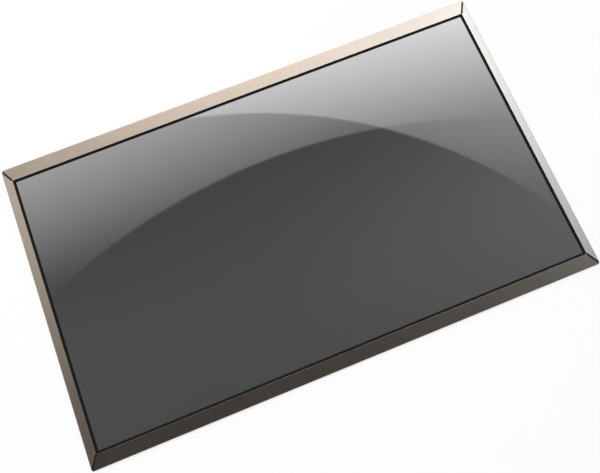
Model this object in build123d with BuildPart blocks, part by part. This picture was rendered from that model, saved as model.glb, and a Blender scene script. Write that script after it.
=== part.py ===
from build123d import *
import os
from math import atan2, degrees, hypot

# Laptop screen panel: an LED-lit liquid crystal display module, lying on its back with the screen up.
# +X runs to the right along the screen, +Y to the drive edge at its top and +Z out of the screen.
# The origin is on the face that the panel rests on, under the middle of its outline.
# All sizes are in millimetres.

# Picture area of a 15.6-inch 16:9 display, and the rims from the bezel's window to the outline
view_width = 344.2
view_height = 193.5
black_border = 1.65
side_rim = 6.9
drive_rim = 11.5
plain_rim = 9.4

# Thickness of each layer, from the back to the front
back_recess = 0.55
cover_sheet = 0.3
reflector_film = 0.2
guide_plate = 1.0
optical_film = 0.18
film_play = 0.08
mounting_tape_film = 0.1
polarizer_film = 0.2
glass_sheet = 0.5
gasket_foam = 0.6
bezel_sheet = 0.35

# Clearances
fit_gap = 0.2
slip_gap = 0.05
frame_gap = 0.15

# Front bezel: a flat land round the window, a bevel, and a skirt folded down outside the frame
bezel_land = 0.25
bevel_drop = 2.7
skirt_gap = 0.4
seam_gap = 1.5
seam_relief = 0.2
fold_radius = 1.0
crease_radius = 0.4
crown_gap = 0.25
land_round = 0.1

# Snap catches of the mould frame, in windows of the bezel's skirt
catch_length = 8.0
catch_height = 0.7
catch_level = 0.95
catch_grip = 0.25
side_catch_pitch = 60.0
edge_catch_pitch = 75.0

# How far the sheets reach past the picture area
gasket_show = 1.5
gasket_margin = 0.1
glass_rim = 0.8
glass_ledge = 3.4
sheet_reach = 1.0
tape_inset = 0.1
ear_reach = 0.8
ear_length = 10.0
ear_pitch = 120.0

# LED strip along the drive edge
led_count = 36
led_length = 3.0
led_depth = 1.0
led_height = 0.8
led_gap = 0.1
flex_film = 0.2
flex_width = 1.9
tail_width = 6.0
tail_inset = 36.0

# Mould frame
frame_wall = 1.1
divider = 1.3
cover_lap = 0.4
boss_length = 6.0
boss_reach = 4.5
boss_inset = 6.0

# Control board in its bay behind the glass ledge
board_inset = 16.1
board_sheet = 0.8
board_gap = 0.3
film_seat = 0.2
board_film_sheet = 0.1
film_lip = 0.5
part_play = 0.05
board_screw_radius = 0.6
board_head_radius = 1.2
board_head = 0.4
board_screw_grip = 0.7

# Drivers on the glass ledge and the films from there to the board
driver_count = 4
chip_length = 20.0
chip_width = 1.2
chip_height = 0.5
chip_inset = 0.5
driver_film_sheet = 0.1
driver_film_width = 40.0
film_bond = 1.4
film_drop_run = 1.5
film_landing = 2.0
film_bend = 0.5

# Parts on the back of the board
connector_length = 19.0
connector_depth = 5.0
connector_height = 0.95
mouth_length = 15.6
mouth_height = 0.45
mouth_depth = 3.0
mouth_floor = 0.2
contact_count = 30
contact_pitch = 0.5
contact_width = 0.25
contact_sheet = 0.1
contact_length = 2.6
plug_room = 0.5
tail_socket_length = 9.0
tail_socket_depth = 3.2
tail_socket_height = 0.85
tail_socket_mouth = 1.4
timing_chip_size = 5.0
timing_chip_height = 0.85
power_chip_size = 4.0
power_chip_height = 0.75
part_space = 1.0
inductor_size = 4.0
inductor_height = 0.9
inductor_corner = 0.8
capacitor_length = 1.6
capacitor_width = 0.8
capacitor_height = 0.8
capacitor_pitch = 2.6
capacitor_columns = 5

# Back cover, its stiffening beads and screws
bead_height = 0.35
bead_width = 9.0
bead_inset = 30.0
bead_count = 5
bead_corner = 2.5
cover_screw_radius = 0.8
cover_head_radius = 1.5
cover_head = 0.4
cover_screw_grip = 1.3
edge_screw_pitch = 200.0

# Tapped inserts for the panel's own fixing screws, M2 with a 1.6 mm core
mount_reach = 4.3
mount_pitch = 160.0
insert_radius = 1.7
insert_length = 1.9
thread_radius = 0.8
thread_depth = 1.6
mount_hole_radius = 1.3

# Levels that the layers stack up to
cover_back = back_recess
cover_front = cover_back + cover_sheet
guide_back = cover_front + reflector_film
guide_front = guide_back + guide_plate
film_stack = guide_front + 4 * optical_film
shelf = film_stack + film_play
rear_polarizer_back = shelf + mounting_tape_film
array_back = rear_polarizer_back + polarizer_film
filter_back = array_back + glass_sheet
filter_front = filter_back + glass_sheet
screen_face = filter_front + polarizer_film
lip_back = screen_face + gasket_foam
front = lip_back + bezel_sheet
fold = front - bevel_drop
led_back = cover_front + flex_film
led_front = led_back + led_height
board_back = film_seat + part_play + connector_height
board_front = board_back + board_sheet
mouth_low = board_back - connector_height + mouth_floor
catch_top = catch_level + catch_height

# Outline, and the picture area's place in it
outer_width = view_width + 2 * black_border + 2 * side_rim
outer_height = view_height + 2 * black_border + drive_rim + plain_rim
view_y = (plain_rim - drive_rim) / 2
view_top = view_y + view_height / 2

# Reaches past the picture area that follow from the values above
gasket_inner = black_border - gasket_show
land_reach = black_border + bezel_land
gasket_outer = land_reach - gasket_margin
polarizer_reach = gasket_outer + slip_gap
glass_reach = polarizer_reach + glass_rim
chip_start = glass_reach + chip_inset
ledge_reach = glass_reach + glass_ledge
window_reach = sheet_reach + fit_gap
tape_outer = polarizer_reach - tape_inset
tape_inner = window_reach + tape_inset
pocket_reach = glass_reach + fit_gap
led_start = sheet_reach + led_gap
flex_end = led_start + flex_width
led_bay_end = flex_end + fit_gap
bay_start = led_bay_end + divider
cover_edge = led_bay_end + cover_lap
frame_inset = bezel_sheet + frame_gap
side_recess = black_border + side_rim - frame_inset - frame_wall
plain_recess = black_border + plain_rim - frame_inset - frame_wall
bay_end = black_border + drive_rim - frame_inset - frame_wall
board_start = bay_start + board_gap
board_end = bay_end - board_gap
board_middle = view_top + (board_start + board_end) / 2
board_length = view_width - 2 * board_inset
bay_length = board_length + 2 * board_gap
plug_width = connector_length + 2 * plug_room

# Places that pieces share
side_catches = [view_y + i * side_catch_pitch for i in (-1, 0, 1)]
edge_catches = [i * edge_catch_pitch for i in (-2, -1, 0, 1, 2)]
boss_span = board_length - 2 * boss_inset
board_bosses = [-boss_span / 2, 0, boss_span / 2]
driver_pitch = boss_span / driver_count
drivers = [(i - (driver_count - 1) / 2) * driver_pitch for i in range(driver_count)]
connector_place = drivers[0]
timing_chip_place = drivers[1]
power_chip_place = drivers[2]
inductor_place = power_chip_place + (power_chip_size + inductor_size) / 2 + part_space
capacitor_row = capacitor_columns * capacitor_pitch
capacitor_place = power_chip_place - (power_chip_size + capacitor_row) / 2 - part_space
tail_place = board_length / 2 - tail_inset
plain_screw_y = view_y - view_height / 2 - (pocket_reach + plain_recess) / 2
cover_screw_places = [(-edge_screw_pitch / 2, plain_screw_y), (edge_screw_pitch / 2, plain_screw_y)]
cover_screw_places += [(side * (view_width / 2 + mount_reach), view_y) for side in (-1, 1)]


def rim_rectangle(side, plain, drive, mode=Mode.ADD):
    """Draw a rectangle that stands these distances outside the picture area at its sides and two edges."""
    with Locations((0, view_y + (drive - plain) / 2)):
        Rectangle(view_width + 2 * side, view_height + plain + drive, mode=mode)


def outline_rectangle(inset):
    """Draw the panel's outline, drawn in by the inset."""
    Rectangle(outer_width - 2 * inset, outer_height - 2 * inset)


def sheet_outline(gap):
    """Draw a backlight sheet with its four locating ears, grown by the gap."""
    rim_rectangle(sheet_reach + gap, sheet_reach + gap, sheet_reach + gap)
    with Locations((0, view_y)):
        with GridLocations(view_width + 2 * sheet_reach, ear_pitch, 2, 2):
            Rectangle(2 * (ear_reach + gap), ear_length + 2 * gap)


def drive_rectangle(place, length, start, end, mode=Mode.ADD):
    """Draw a rectangle along the drive edge, between two distances outside the picture area."""
    with Locations((place, view_top + (start + end) / 2)):
        Rectangle(length, end - start, mode=mode)


def long_edges(part, level):
    """Return the part's long straight edges at a level."""
    return [e for e in part.edges() if e.length > view_height / 2 and abs(e.center().Z - level) < 0.001]


def bevel_planes(depth):
    """Return the planes of the four bevels, sunk by a depth below the outside of the sheet."""
    sides = [
        Plane((side * outer_width / 2, 0, fold), z_dir=(side * bevel_drop, 0, side_rim - bezel_land))
        for side in (-1, 1)
    ]
    edges = [
        Plane((0, edge * outer_height / 2, fold), z_dir=(0, edge * bevel_drop, rim - bezel_land))
        for edge, rim in ((-1, plain_rim), (1, drive_rim))
    ]
    return [plane.offset(-depth) for plane in sides + edges]


def is_window_edge(edge):
    """Say whether an edge is one of the bezel window's, inside the middle of the land."""
    reach = black_border + bezel_land / 2
    across = abs(edge.center().X) < view_width / 2 + reach
    along = abs(edge.center().Y - view_y) < view_height / 2 + reach
    return across and along


def is_inner_fold(edge):
    """Say whether an edge runs along the top of the skirt's inner face."""
    middle = edge.center()
    at_side = abs(abs(middle.X) - outer_width / 2 + bezel_sheet) < 0.001
    at_edge = abs(abs(middle.Y) - outer_height / 2 + bezel_sheet) < 0.001
    return (at_side or at_edge) and middle.Z > skirt_gap + bezel_sheet


def catch_sections(half_outline):
    """Draw the sloped sections of two snap catches, one on each of two opposite walls of the frame."""
    for side in (-1, 1):
        wall = side * (half_outline - frame_inset)
        tip = wall + side * (frame_gap + catch_grip)
        root = wall - side * frame_wall / 2
        Polygon((root, catch_top), (wall, catch_top), (tip, catch_level), (root, catch_level), align=None)


# Inside of the bezel, one sheet thickness in from its skirt, bevels and land
with BuildPart() as bezel_inside:
    with BuildSketch(Plane.XY.offset(skirt_gap)):
        outline_rectangle(bezel_sheet)
    extrude(amount=lip_back - skirt_gap)
    for plane in bevel_planes(bezel_sheet):
        split(bisect_by=plane, keep=Keep.BOTTOM)

# Front bezel, folded from one sheet: the land joins four bevels that meet at open mitre seams
with BuildPart() as front_bezel:
    with BuildSketch(Plane.XY.offset(skirt_gap)):
        outline_rectangle(0)
    extrude(amount=front - skirt_gap)
    for plane in bevel_planes(0):
        split(bisect_by=plane, keep=Keep.BOTTOM)
    fillet(long_edges(front_bezel, front), crease_radius)
    add(bezel_inside.part, mode=Mode.SUBTRACT)
    # The window
    with BuildSketch(Plane.XY.offset(front)):
        rim_rectangle(black_border, black_border, black_border)
    extrude(amount=-bevel_drop, mode=Mode.SUBTRACT)
    fillet([e for e in long_edges(front_bezel, front) if is_window_edge(e)], land_round)
    # The mitre seams, from a relief in the land's corners out
    with BuildSketch(Plane.XY.offset(front)):
        for side in (-1, 1):
            for edge, rim in ((-1, plain_rim), (1, drive_rim)):
                run_x = side * (side_rim - bezel_land)
                run_y = edge * (rim - bezel_land)
                run = hypot(run_x, run_y)
                seam_x = side * (view_width / 2 + land_reach) + run_x
                seam_y = view_y + edge * (view_height / 2 + land_reach) + run_y
                with Locations((seam_x, seam_y)):
                    Rectangle(2 * (run + seam_relief), seam_gap, rotation=degrees(atan2(run_y, run_x)))
    extrude(amount=skirt_gap - front, mode=Mode.SUBTRACT)
    # Folds with the sheet's bend radius
    fillet(long_edges(front_bezel, fold), fold_radius)
    inner_folds = [e for e in front_bezel.edges() if e.length > view_height / 2 and is_inner_fold(e)]
    fillet(inner_folds, fold_radius - bezel_sheet)
    # Windows for the snap catches
    with BuildSketch(Plane.YZ):
        with Locations(*[(y, catch_level + catch_height / 2) for y in side_catches]):
            Rectangle(catch_length + 2 * fit_gap, catch_height + 2 * slip_gap)
    extrude(amount=outer_width / 2, both=True, mode=Mode.SUBTRACT)
    with BuildSketch(Plane.XZ):
        with Locations(*[(x, catch_level + catch_height / 2) for x in edge_catches]):
            Rectangle(catch_length + 2 * fit_gap, catch_height + 2 * slip_gap)
    extrude(amount=outer_height / 2, both=True, mode=Mode.SUBTRACT)
    # Notch in the drive edge's skirt, where the cable's plug slides in
    with BuildSketch(Plane.XZ):
        with Locations((connector_place, board_back / 2)):
            Rectangle(plug_width, board_back + 2 * fit_gap)
    extrude(amount=-outer_height / 2, mode=Mode.SUBTRACT)
front_bezel.part.label = "front_bezel"

# Gasket between the bezel's land and the screen; its inner strip shows as a black line
with BuildPart() as bezel_gasket:
    with BuildSketch(Plane.XY.offset(screen_face)):
        rim_rectangle(gasket_outer, gasket_outer, gasket_outer)
        rim_rectangle(gasket_inner, gasket_inner, gasket_inner, mode=Mode.SUBTRACT)
    extrude(amount=gasket_foam)
bezel_gasket.part.label = "bezel_gasket"

# Liquid crystal cell: two polarizers on two sheets of glass
with BuildPart() as front_polarizer:
    with BuildSketch(Plane.XY.offset(filter_front)):
        rim_rectangle(polarizer_reach, polarizer_reach, polarizer_reach)
    extrude(amount=polarizer_film)
front_polarizer.part.label = "front_polarizer"

with BuildPart() as colour_filter_glass:
    with BuildSketch(Plane.XY.offset(filter_back)):
        rim_rectangle(glass_reach, glass_reach, glass_reach)
    extrude(amount=glass_sheet)
colour_filter_glass.part.label = "colour_filter_glass"

with BuildPart() as array_glass:
    with BuildSketch(Plane.XY.offset(array_back)):
        rim_rectangle(glass_reach, glass_reach, ledge_reach)
    extrude(amount=glass_sheet)
array_glass.part.label = "array_glass"

with BuildPart() as rear_polarizer:
    with BuildSketch(Plane.XY.offset(rear_polarizer_back)):
        rim_rectangle(polarizer_reach, polarizer_reach, polarizer_reach)
    extrude(amount=polarizer_film)
rear_polarizer.part.label = "rear_polarizer"

# Tape that holds the cell on the frame's shelf
with BuildPart() as mounting_tape:
    with BuildSketch(Plane.XY.offset(shelf)):
        rim_rectangle(tape_outer, tape_outer, tape_outer)
        rim_rectangle(tape_inner, tape_inner, tape_inner, mode=Mode.SUBTRACT)
    extrude(amount=mounting_tape_film)
mounting_tape.part.label = "mounting_tape"

# Mould frame: everything sits in it, and it carries the snap catches
with BuildPart() as mould_frame:
    with BuildSketch(Plane.XY):
        outline_rectangle(frame_inset)
    extrude(amount=filter_front)
    for plane in bevel_planes(bezel_sheet + crown_gap):
        split(bisect_by=plane, keep=Keep.BOTTOM)
    # Pocket for the glass, window for the backlight sheets and recess for the back cover
    with BuildSketch(Plane.XY.offset(shelf)):
        rim_rectangle(pocket_reach, pocket_reach, ledge_reach + fit_gap)
    extrude(amount=front - shelf, mode=Mode.SUBTRACT)
    with BuildSketch(Plane.XY):
        sheet_outline(fit_gap)
    extrude(amount=shelf, mode=Mode.SUBTRACT)
    with BuildSketch(Plane.XY):
        rim_rectangle(side_recess, plain_recess, cover_edge + fit_gap)
    extrude(amount=cover_front, mode=Mode.SUBTRACT)
    # Bay for the LED strip, under the shelf
    with BuildSketch(Plane.XY):
        drive_rectangle(0, view_width + 2 * window_reach, window_reach, led_bay_end)
    extrude(amount=led_front + led_gap, mode=Mode.SUBTRACT)
    # Bay for the control board, open to the back and to the driver films above
    with BuildSketch(Plane.XY):
        drive_rectangle(0, bay_length, bay_start, bay_end)
    extrude(amount=front, mode=Mode.SUBTRACT)
    # Seat for the board's clear film
    with BuildSketch(Plane.XY):
        drive_rectangle(0, bay_length + 2 * film_lip, cover_edge + fit_gap, bay_end + film_lip)
    extrude(amount=film_seat, mode=Mode.SUBTRACT)
    # Bosses that the board is screwed to
    with BuildSketch(Plane.XY.offset(board_front)):
        for place in board_bosses:
            drive_rectangle(place, boss_length, bay_start - divider / 2, bay_start + boss_reach)
    extrude(amount=shelf - board_front)
    with BuildSketch(Plane.XY.offset(board_front)):
        with Locations(*[(place, board_middle) for place in board_bosses]):
            Circle(board_screw_radius + slip_gap)
    extrude(amount=shelf - board_front, mode=Mode.SUBTRACT)
    # Ways through for the LED strip's tail and for the cable's plug
    with BuildSketch(Plane.XY):
        drive_rectangle(tail_place, tail_width + 2 * fit_gap, led_bay_end - divider, bay_start + divider)
    extrude(amount=led_back + slip_gap, mode=Mode.SUBTRACT)
    with BuildSketch(Plane.XY):
        drive_rectangle(connector_place, plug_width, bay_end - film_lip, bay_end + 2 * frame_wall)
    extrude(amount=board_back + fit_gap, mode=Mode.SUBTRACT)
    # Holes for the inserts and the cover's screws
    with BuildSketch(Plane.XY.offset(cover_front)):
        with Locations((0, view_y)):
            with GridLocations(view_width + 2 * mount_reach, mount_pitch, 2, 2):
                Circle(insert_radius + slip_gap)
    extrude(amount=insert_length + slip_gap, mode=Mode.SUBTRACT)
    with BuildSketch(Plane.XY.offset(cover_front)):
        with Locations(*cover_screw_places):
            Circle(cover_screw_radius + slip_gap)
    extrude(amount=cover_screw_grip + slip_gap, mode=Mode.SUBTRACT)
    # Snap catches, sloped on top so that the bezel rides over them
    for place in side_catches:
        with BuildSketch(Plane.XZ.offset(-place)):
            catch_sections(outer_width / 2)
        extrude(amount=catch_length / 2, both=True)
    for place in edge_catches:
        with BuildSketch(Plane.YZ.offset(place)):
            catch_sections(outer_height / 2)
        extrude(amount=catch_length / 2, both=True)
mould_frame.part.label = "mould_frame"

# Backlight sheets
with BuildPart() as upper_diffuser:
    with BuildSketch(Plane.XY.offset(guide_front + 3 * optical_film)):
        sheet_outline(0)
    extrude(amount=optical_film)
upper_diffuser.part.label = "upper_diffuser"

with BuildPart() as upper_prism_sheet:
    with BuildSketch(Plane.XY.offset(guide_front + 2 * optical_film)):
        sheet_outline(0)
    extrude(amount=optical_film)
upper_prism_sheet.part.label = "upper_prism_sheet"

with BuildPart() as lower_prism_sheet:
    with BuildSketch(Plane.XY.offset(guide_front + optical_film)):
        sheet_outline(0)
    extrude(amount=optical_film)
lower_prism_sheet.part.label = "lower_prism_sheet"

with BuildPart() as lower_diffuser:
    with BuildSketch(Plane.XY.offset(guide_front)):
        sheet_outline(0)
    extrude(amount=optical_film)
lower_diffuser.part.label = "lower_diffuser"

with BuildPart() as light_guide:
    with BuildSketch(Plane.XY.offset(guide_back)):
        sheet_outline(0)
    extrude(amount=guide_plate)
light_guide.part.label = "light_guide"

with BuildPart() as reflector_sheet:
    with BuildSketch(Plane.XY.offset(cover_front)):
        sheet_outline(0)
    extrude(amount=reflector_film)
reflector_sheet.part.label = "reflector_sheet"

# LED strip: a flex circuit on the back cover, with a tail to the control board
with BuildPart() as led_strip:
    with BuildSketch(Plane.XY.offset(cover_front)):
        drive_rectangle(0, view_width, led_start, flex_end)
        drive_rectangle(tail_place, tail_width, flex_end - slip_gap, board_start + tail_socket_mouth)
    extrude(amount=flex_film)
led_strip.part.label = "led_strip"

with BuildPart() as led_packages:
    led_pitch = view_width / led_count
    with BuildSketch(Plane.XY.offset(led_back)):
        with Locations((0, view_top + led_start + led_depth / 2)):
            with GridLocations(led_pitch, 1, led_count, 1):
                Rectangle(led_length, led_depth)
    extrude(amount=led_height)
led_packages.part.label = "led_packages"

# Driver chips on the glass ledge
with BuildPart() as driver_chips:
    with BuildSketch(Plane.XY.offset(filter_back)):
        for place in drivers:
            drive_rectangle(place, chip_length, chip_start, chip_start + chip_width)
    extrude(amount=chip_height)
driver_chips.part.label = "driver_chips"

# Driver films, bent down from the ledge to the front of the board
with BuildPart() as driver_films:
    film_top = filter_back + driver_film_sheet / 2
    film_low = board_front + driver_film_sheet / 2
    film_first = view_top + ledge_reach - film_bond
    film_bend_top = view_top + ledge_reach + film_bend
    film_bend_low = film_bend_top + film_drop_run
    for place in drivers:
        with BuildSketch(Plane.YZ.offset(place)):
            with BuildLine():
                FilletPolyline(
                    (film_first, film_top),
                    (film_bend_top, film_top),
                    (film_bend_low, film_low),
                    (film_bend_low + film_landing, film_low),
                    radius=film_bend,
                )
            trace(line_width=driver_film_sheet)
        extrude(amount=driver_film_width / 2, both=True)
driver_films.part.label = "driver_films"

# Control board, screwed to the frame's bosses from the back
with BuildPart() as control_board:
    with BuildSketch(Plane.XY.offset(board_back)):
        drive_rectangle(0, board_length, board_start, board_end)
        with Locations(*[(place, board_middle) for place in board_bosses]):
            Circle(board_screw_radius + slip_gap, mode=Mode.SUBTRACT)
    extrude(amount=board_sheet)
control_board.part.label = "control_board"

with BuildPart() as timing_chip:
    with BuildSketch(Plane.XY.offset(board_back)):
        with Locations((timing_chip_place, board_middle)):
            Rectangle(timing_chip_size, timing_chip_size)
    extrude(amount=-timing_chip_height)
timing_chip.part.label = "timing_chip"

with BuildPart() as power_chip:
    with BuildSketch(Plane.XY.offset(board_back)):
        with Locations((power_chip_place, board_middle)):
            Rectangle(power_chip_size, power_chip_size)
    extrude(amount=-power_chip_height)
power_chip.part.label = "power_chip"

with BuildPart() as power_inductor:
    with BuildSketch(Plane.XY.offset(board_back)):
        with Locations((inductor_place, board_middle)):
            Rectangle(inductor_size, inductor_size)
        chamfer(vertices(), inductor_corner)
    extrude(amount=-inductor_height)
power_inductor.part.label = "power_inductor"

with BuildPart() as capacitors:
    with BuildSketch(Plane.XY.offset(board_back)):
        with Locations((capacitor_place, board_middle), (timing_chip_place - capacitor_row, board_middle)):
            with GridLocations(capacitor_pitch, capacitor_pitch, capacitor_columns, 2):
                Rectangle(capacitor_length, capacitor_width)
    extrude(amount=-capacitor_height)
capacitors.part.label = "capacitors"

# Socket for the panel's cable; its mouth faces out through the notch in the drive edge
with BuildPart() as display_connector:
    with BuildSketch(Plane.XY.offset(board_back)):
        drive_rectangle(connector_place, connector_length, board_end - connector_depth, board_end)
    extrude(amount=-connector_height)
    with BuildSketch(Plane.XZ.offset(-view_top - board_end)):
        with Locations((connector_place, mouth_low + mouth_height / 2)):
            Rectangle(mouth_length, mouth_height)
    extrude(amount=mouth_depth, mode=Mode.SUBTRACT)
display_connector.part.label = "display_connector"

with BuildPart() as display_contacts:
    contact_top = mouth_low + mouth_height
    contact_back = view_top + board_end - mouth_depth
    with BuildSketch(Plane.XY.offset(contact_top)):
        with Locations((connector_place, contact_back + contact_length / 2)):
            with GridLocations(contact_pitch, 1, contact_count, 1):
                Rectangle(contact_width, contact_length)
    extrude(amount=-contact_sheet)
display_contacts.part.label = "display_contacts"

# Socket for the LED strip's tail
with BuildPart() as led_connector:
    with BuildSketch(Plane.XY.offset(board_back)):
        drive_rectangle(tail_place, tail_socket_length, board_start, board_start + tail_socket_depth)
    extrude(amount=-tail_socket_height)
    with BuildSketch(Plane.XY.offset(cover_front - slip_gap)):
        slot_width = tail_width + 2 * slip_gap
        drive_rectangle(tail_place, slot_width, board_start, board_start + tail_socket_mouth + slip_gap)
    extrude(amount=flex_film + 2 * slip_gap, mode=Mode.SUBTRACT)
led_connector.part.label = "led_connector"

with BuildPart() as board_screws:
    with BuildSketch(Plane.XY.offset(board_back)):
        with Locations(*[(place, board_middle) for place in board_bosses]):
            Circle(board_head_radius)
    extrude(amount=-board_head)
    with BuildSketch(Plane.XY.offset(board_back)):
        with Locations(*[(place, board_middle) for place in board_bosses]):
            Circle(board_screw_radius)
    extrude(amount=board_sheet + board_screw_grip)
board_screws.part.label = "board_screws"

# Clear film over the board, cut away at the cable's socket
with BuildPart() as board_film:
    with BuildSketch(Plane.XY.offset(film_seat)):
        film_start = cover_edge + 2 * fit_gap
        film_length = bay_length + 2 * film_lip - 2 * fit_gap
        drive_rectangle(0, film_length, film_start, bay_end + film_lip - fit_gap)
        socket_start = board_end - connector_depth - plug_room
        drive_rectangle(connector_place, plug_width, socket_start, bay_end + frame_wall, mode=Mode.SUBTRACT)
    extrude(amount=-board_film_sheet)
board_film.part.label = "board_film"

# Back cover, pressed from sheet with stiffening beads that stand out at the back
with BuildPart() as back_cover:
    with BuildSketch(Plane.XY.offset(cover_back)):
        rim_rectangle(side_recess - fit_gap, plain_recess - fit_gap, cover_edge)
    extrude(amount=cover_sheet)
    bead_pitch = (view_width - 2 * bead_inset) / (bead_count - 1)
    bead_length = view_height - 2 * bead_inset
    with BuildSketch(Plane.XY.offset(cover_back)):
        with Locations((0, view_y)):
            with GridLocations(bead_pitch, 1, bead_count, 1):
                Rectangle(bead_width, bead_length)
        chamfer(vertices(), bead_corner)
    extrude(amount=-bead_height)
    with BuildSketch(Plane.XY.offset(cover_front)):
        with Locations((0, view_y)):
            with GridLocations(bead_pitch, 1, bead_count, 1):
                Rectangle(bead_width - 2 * cover_sheet, bead_length - 2 * cover_sheet)
        chamfer(vertices(), bead_corner)
    extrude(amount=-bead_height, mode=Mode.SUBTRACT)
    # Clearance holes for the fixing screws and for its own screws
    with BuildSketch(Plane.XY.offset(cover_back)):
        with Locations((0, view_y)):
            with GridLocations(view_width + 2 * mount_reach, mount_pitch, 2, 2):
                Circle(mount_hole_radius)
        with Locations(*cover_screw_places):
            Circle(cover_screw_radius + slip_gap)
    extrude(amount=cover_sheet, mode=Mode.SUBTRACT)
back_cover.part.label = "back_cover"

with BuildPart() as cover_screws:
    with BuildSketch(Plane.XY.offset(cover_back)):
        with Locations(*cover_screw_places):
            Circle(cover_head_radius)
    extrude(amount=-cover_head)
    with BuildSketch(Plane.XY.offset(cover_back)):
        with Locations(*cover_screw_places):
            Circle(cover_screw_radius)
    extrude(amount=cover_sheet + cover_screw_grip)
cover_screws.part.label = "cover_screws"

with BuildPart() as mount_inserts:
    with BuildSketch(Plane.XY.offset(cover_front)):
        with Locations((0, view_y)):
            with GridLocations(view_width + 2 * mount_reach, mount_pitch, 2, 2):
                Circle(insert_radius)
    extrude(amount=insert_length)
    with BuildSketch(Plane.XY.offset(cover_front)):
        with Locations((0, view_y)):
            with GridLocations(view_width + 2 * mount_reach, mount_pitch, 2, 2):
                Circle(thread_radius)
    extrude(amount=thread_depth, mode=Mode.SUBTRACT)
mount_inserts.part.label = "mount_inserts"

os.makedirs("parts", exist_ok=True)
export_step(front_bezel.part, "parts/front_bezel.step")
export_step(bezel_gasket.part, "parts/bezel_gasket.step")
export_step(front_polarizer.part, "parts/front_polarizer.step")
export_step(colour_filter_glass.part, "parts/colour_filter_glass.step")
export_step(array_glass.part, "parts/array_glass.step")
export_step(rear_polarizer.part, "parts/rear_polarizer.step")
export_step(mounting_tape.part, "parts/mounting_tape.step")
export_step(mould_frame.part, "parts/mould_frame.step")
export_step(upper_diffuser.part, "parts/upper_diffuser.step")
export_step(upper_prism_sheet.part, "parts/upper_prism_sheet.step")
export_step(lower_prism_sheet.part, "parts/lower_prism_sheet.step")
export_step(lower_diffuser.part, "parts/lower_diffuser.step")
export_step(light_guide.part, "parts/light_guide.step")
export_step(reflector_sheet.part, "parts/reflector_sheet.step")
export_step(led_strip.part, "parts/led_strip.step")
export_step(led_packages.part, "parts/led_packages.step")
export_step(driver_chips.part, "parts/driver_chips.step")
export_step(driver_films.part, "parts/driver_films.step")
export_step(control_board.part, "parts/control_board.step")
export_step(timing_chip.part, "parts/timing_chip.step")
export_step(power_chip.part, "parts/power_chip.step")
export_step(power_inductor.part, "parts/power_inductor.step")
export_step(capacitors.part, "parts/capacitors.step")
export_step(display_connector.part, "parts/display_connector.step")
export_step(display_contacts.part, "parts/display_contacts.step")
export_step(led_connector.part, "parts/led_connector.step")
export_step(board_screws.part, "parts/board_screws.step")
export_step(board_film.part, "parts/board_film.step")
export_step(back_cover.part, "parts/back_cover.step")
export_step(cover_screws.part, "parts/cover_screws.step")
export_step(mount_inserts.part, "parts/mount_inserts.step")
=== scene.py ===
from math import ceil, cos, hypot, pi, radians, sin

import bmesh
import bpy
from bpy.props import FloatProperty, FloatVectorProperty, IntProperty, PointerProperty
from mathutils import Matrix, Quaternion, Vector


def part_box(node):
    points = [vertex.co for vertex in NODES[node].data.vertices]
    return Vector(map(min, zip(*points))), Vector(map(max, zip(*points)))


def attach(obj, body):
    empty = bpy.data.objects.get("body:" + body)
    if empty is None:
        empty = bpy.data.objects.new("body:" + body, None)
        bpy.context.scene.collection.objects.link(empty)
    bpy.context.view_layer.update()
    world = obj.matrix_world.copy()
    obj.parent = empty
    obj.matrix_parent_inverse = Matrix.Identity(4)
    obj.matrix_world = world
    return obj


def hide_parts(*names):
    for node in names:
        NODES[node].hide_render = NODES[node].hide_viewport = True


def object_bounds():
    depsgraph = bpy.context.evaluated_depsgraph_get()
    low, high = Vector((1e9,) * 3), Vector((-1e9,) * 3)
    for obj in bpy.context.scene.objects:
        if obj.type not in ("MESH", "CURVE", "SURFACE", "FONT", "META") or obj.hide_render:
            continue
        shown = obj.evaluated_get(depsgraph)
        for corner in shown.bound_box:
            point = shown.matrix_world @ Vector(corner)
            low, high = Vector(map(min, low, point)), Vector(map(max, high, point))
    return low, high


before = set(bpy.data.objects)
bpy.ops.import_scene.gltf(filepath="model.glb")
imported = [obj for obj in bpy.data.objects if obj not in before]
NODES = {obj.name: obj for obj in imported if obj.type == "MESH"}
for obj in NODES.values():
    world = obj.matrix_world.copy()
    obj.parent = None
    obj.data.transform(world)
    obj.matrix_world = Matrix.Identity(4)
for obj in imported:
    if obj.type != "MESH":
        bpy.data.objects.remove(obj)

# Looks of a laptop screen panel that lies on its back with the screen up.
# Lengths are in metres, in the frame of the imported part. MM turns millimetres into metres.

bl_info = {
    "name": "Laptop Screen Panel",
    "version": (1, 0, 0),
    "blender": (4, 5, 0),
    "location": "View3D > Sidebar > Screen Panel",
    "description": "Dresses a laptop screen panel and sets it on a plain studio floor",
    "category": "Object",
}

MM = 0.001
CAD_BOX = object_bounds()
FLOAT, VECTOR = "NodeSocketFloat", "NodeSocketVector"

# Where the tone of a grain or a grit lies, what colours and gloss are multiplied by at its two ends, and the
# look of worn edges and of cut edges; the cut edges' darkening is painted shade that hides a glint
TONE_RANGE = (0.2, 0.8)
METAL_SHADES, METAL_GLOSS, WORN_SHADE = (0.90, 1.08), (0.9, 1.12), 1.25
CUT_PAINTED_SHADE, CUT_ROUGHNESS = 0.25, 0.3
GRAIN_DEPTH, WEAR_WIDTH = 0.002 * MM, 0.15 * MM
GRIT_SHADES, GRIT_GLOSS = (0.8, 1.2), (0.88, 1.12)
FLEX_SHADES, FACE_SHADES, MARK_SHADES = (0.85, 1.15), (0.92, 1.08), (1.0, 0.96)

# Scales of the marks and the grits, in turns per metre
SHEET_MARKS, FACE_MARKS = 30.0, 14.0
FINE_GRIT, FLEX_GRIT, FACE_GRIT = 4000.0, 2500.0, 900.0

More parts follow.
